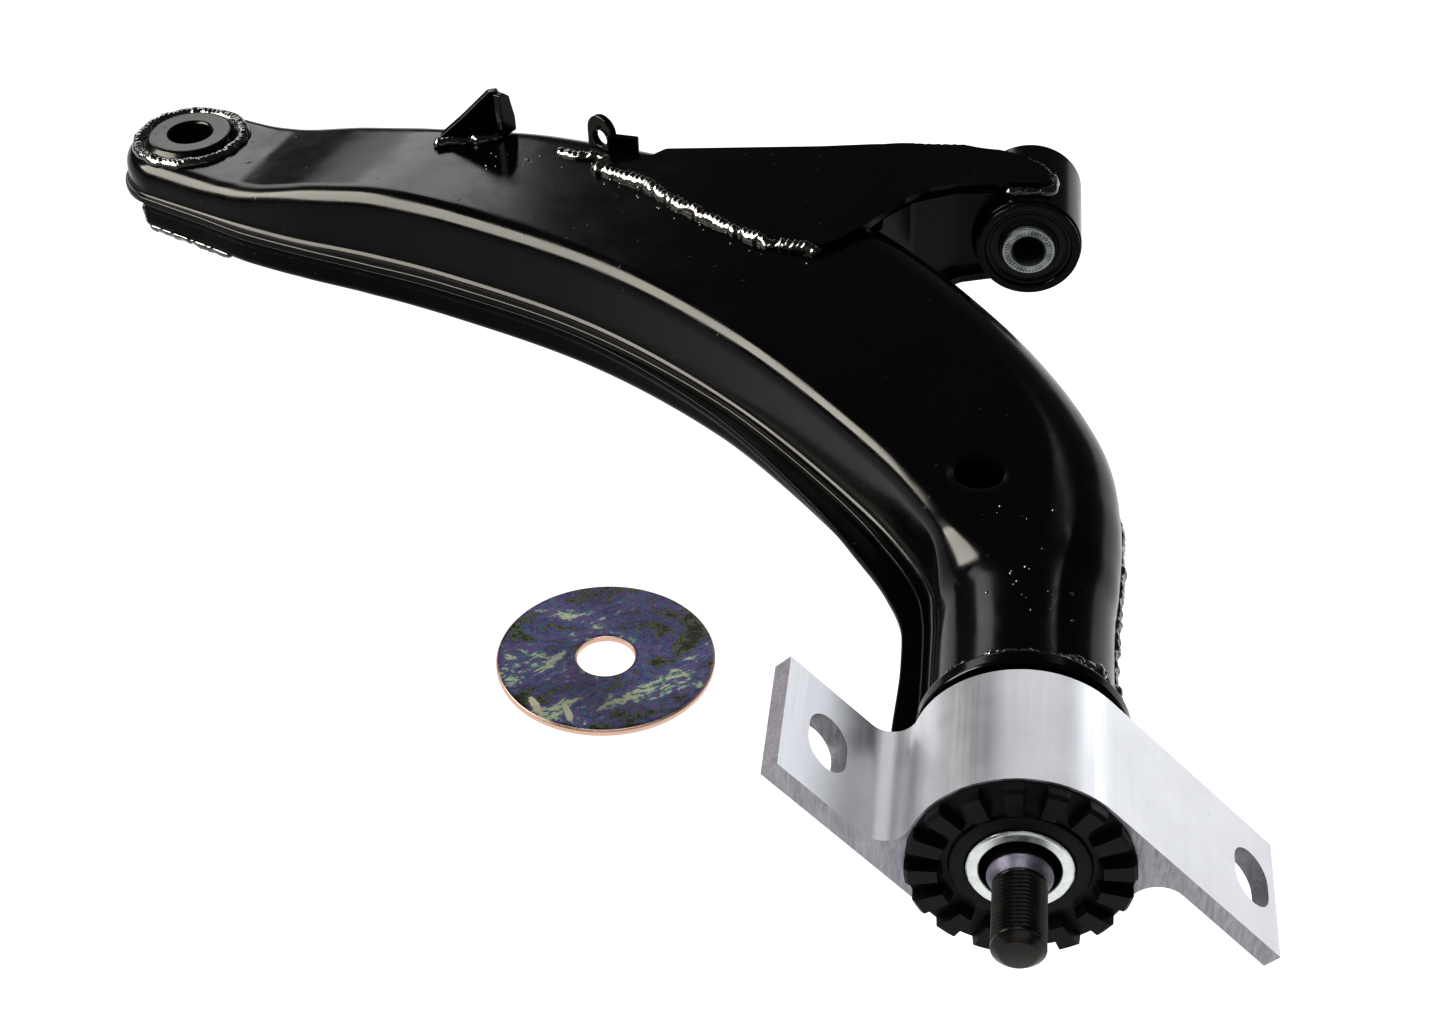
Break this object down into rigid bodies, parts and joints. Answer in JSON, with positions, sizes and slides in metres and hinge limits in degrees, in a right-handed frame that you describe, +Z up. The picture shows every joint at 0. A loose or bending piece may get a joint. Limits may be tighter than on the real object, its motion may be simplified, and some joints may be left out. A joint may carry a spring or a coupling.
{
  "type": "suspension control arm",
  "caption": "Curved pressed-steel lower control arm with ball-joint boss, front bush tube, threaded rear stud, rear bush in a two-eared bracket, and a loose stopper washer.",
  "frame": {"origin": "middle of the base of the object's box, on the floor it lies on", "axes": "+Z up, +Y from the rear bush towards the front bush, +X from the ball joint towards the bushes"},
  "size_m": [0.4598, 0.449, 0.0731],
  "materials": {
    "black_paint": "gloss black paint",
    "weld_paint": "gloss black paint over weld beads",
    "black_rubber": "moulded matte rubber",
    "pale_alloy": "satin extruded aluminium",
    "zinc": "zinc plated steel",
    "dark_steel": "dark phosphated steel",
    "yellow_zinc": "iridescent chromate over zinc"
  },
  "bodies": {
    "arm": {"upper_shell": "black_paint", "lower_shell": "black_paint", "ball_joint_boss": "black_paint", "boss_weld": "weld_paint", "lower_end_weld": "weld_paint", "front_arm_plate": "black_paint", "front_arm_channel": "black_paint", "front_bush_tube": "black_paint", "front_bush_shell": "dark_steel", "front_bush_rubber": "black_rubber", "link_lug_outer": "black_paint", "link_lug_inner": "black_paint", "gusset_weld": "weld_paint", "seam_weld": "weld_paint", "neck_weld": "weld_paint", "tube_weld": "weld_paint", "outer_lug_weld": "weld_paint", "inner_lug_weld": "weld_paint", "rear_stud": "dark_steel", "stud_carrier": "black_paint", "stopper_disc": "black_paint", "rear_bush_sleeve": "zinc"},
    "rear_bracket": {"bracket_housing": "pale_alloy", "rear_bush_shell": "dark_steel", "rear_bush_rubber": "black_rubber", "toothed_snubber": "black_rubber", "rear_flange_rubber": "black_rubber"},
    "front_sleeve": {"front_bush_sleeve": "zinc"},
    "washer": {"stopper_washer": "yellow_zinc"}
  },
  "joints": [
    {"name": "rear_bush_twist", "type": "hinge", "parent": "arm", "child": "rear_bracket", "pos_m": [0.15186, -0.16645, 0.03455], "axis": [0, 1, 0], "range_deg": [-20, 20], "stiffness_Nm_per_rad": 25},
    {"name": "front_bush_twist", "type": "hinge", "parent": "arm", "child": "front_sleeve", "pos_m": [0.15016, 0.16655, 0.03448], "axis": [0, 1, 0], "range_deg": [-20, 20], "stiffness_Nm_per_rad": 8},
    {"name": "washer_lift", "type": "slide", "parent": "arm", "child": "washer", "axis": [0, 0, 1], "range_m": [0, 0.06]}
  ]
}
